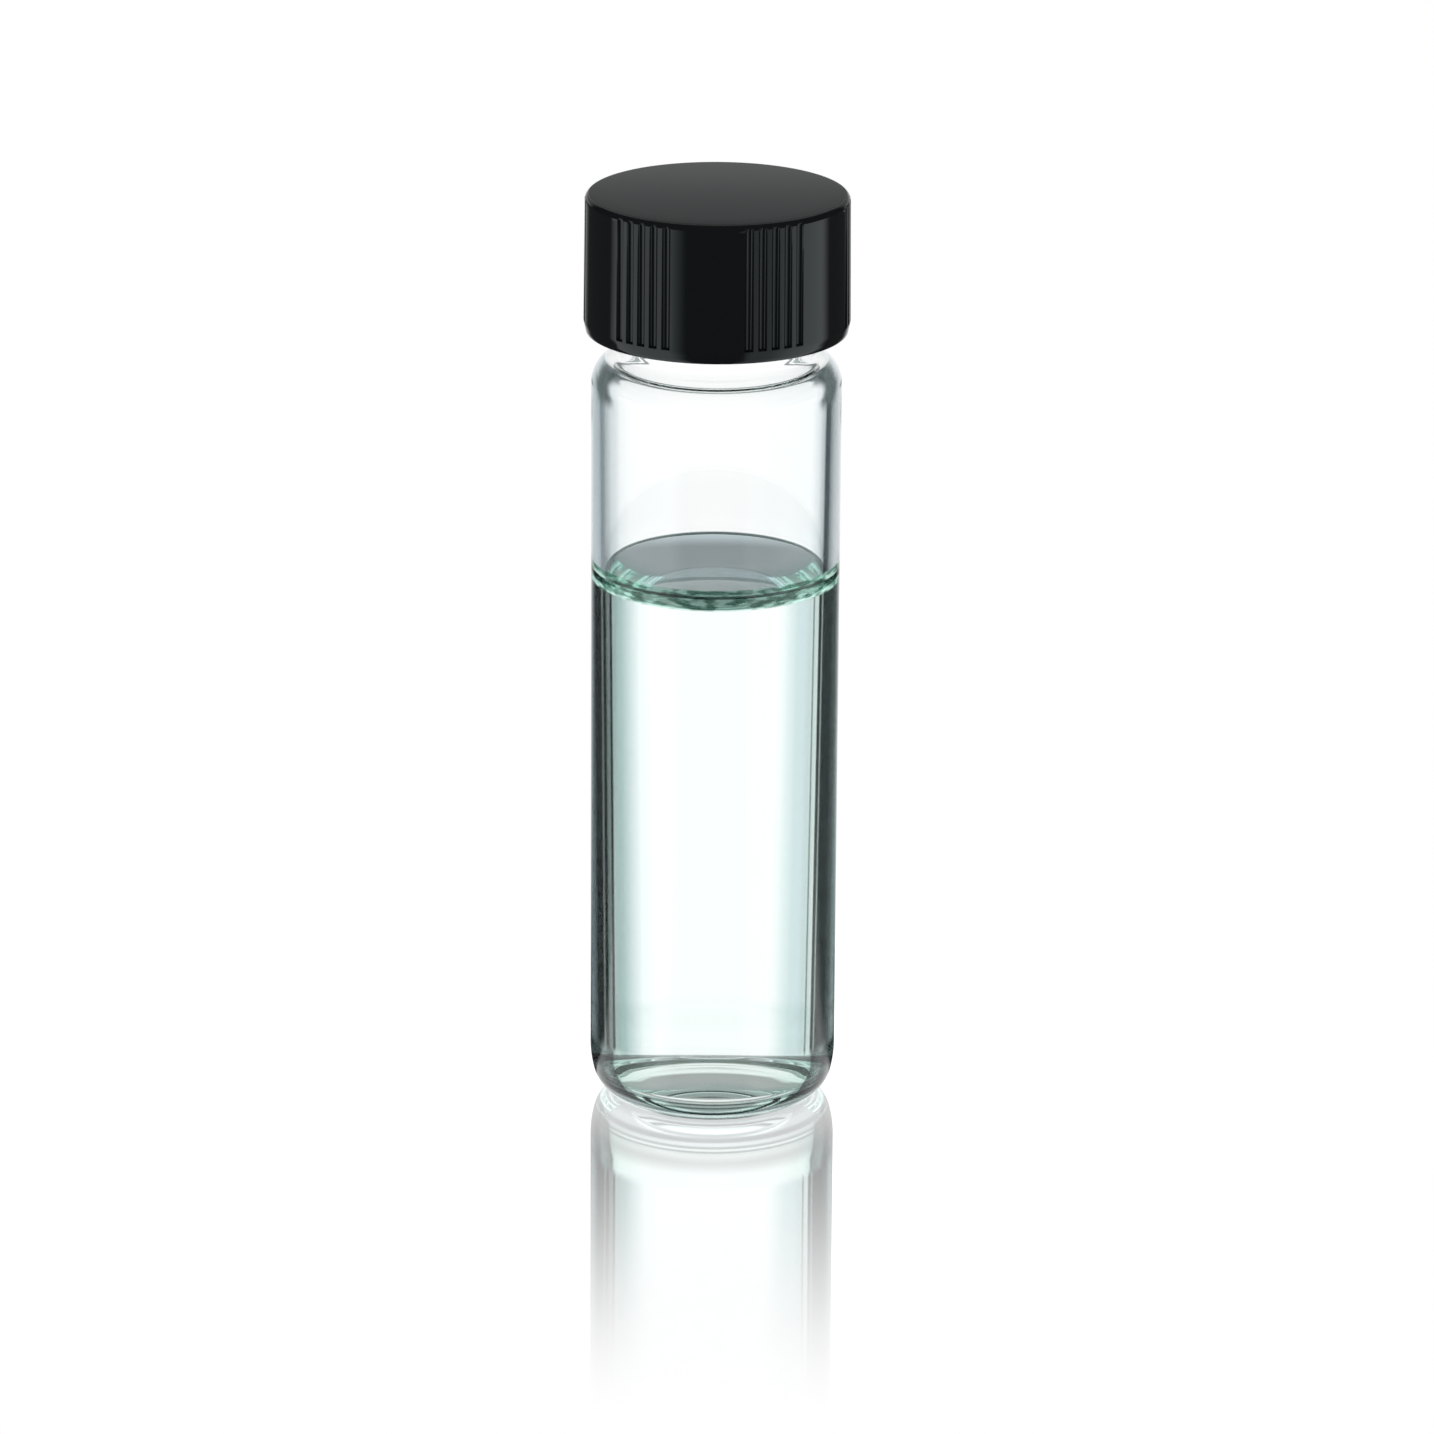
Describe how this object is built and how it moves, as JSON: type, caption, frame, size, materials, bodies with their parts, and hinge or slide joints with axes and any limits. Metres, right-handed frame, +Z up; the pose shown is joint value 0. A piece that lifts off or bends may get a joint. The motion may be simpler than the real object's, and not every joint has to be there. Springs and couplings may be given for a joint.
{
  "type": "glass sample vial",
  "caption": "Clear glass sample vial with a rounded shoulder and a pushed-up foot, closed by a ribbed black screw cap with a liner, part filled with a pale liquid.",
  "frame": {"origin": "centre of the foot, on the surface the vial stands on", "axes": "+Z up along the axis of the vial, from foot to cap; -Y is the front"},
  "size_m": [0.0176, 0.0176, 0.0628],
  "materials": {
    "clear_glass": "gloss",
    "liquid": "gloss",
    "liner": "matte",
    "cap_plastic": "gloss"
  },
  "bodies": {
    "vial": {"glass": "clear_glass", "liquid": "liquid"},
    "liner": {"liner": "liner"},
    "cap": {"cap": "cap_plastic"}
  },
  "joints": [
    {"name": "cap_lift", "type": "slide", "parent": "vial", "child": "liner", "axis": [0, 0, 1], "range_m": [0, 0.00846]},
    {"name": "cap_turn", "type": "hinge", "parent": "liner", "child": "cap", "pos_m": [0, 0, 0.058], "axis": [0, 0, 1], "range_deg": [0, 1440]}
  ],
  "couplings": [
    {"joint": "cap_turn", "follows": "cap_lift", "rad_per_m": 2968}
  ]
}
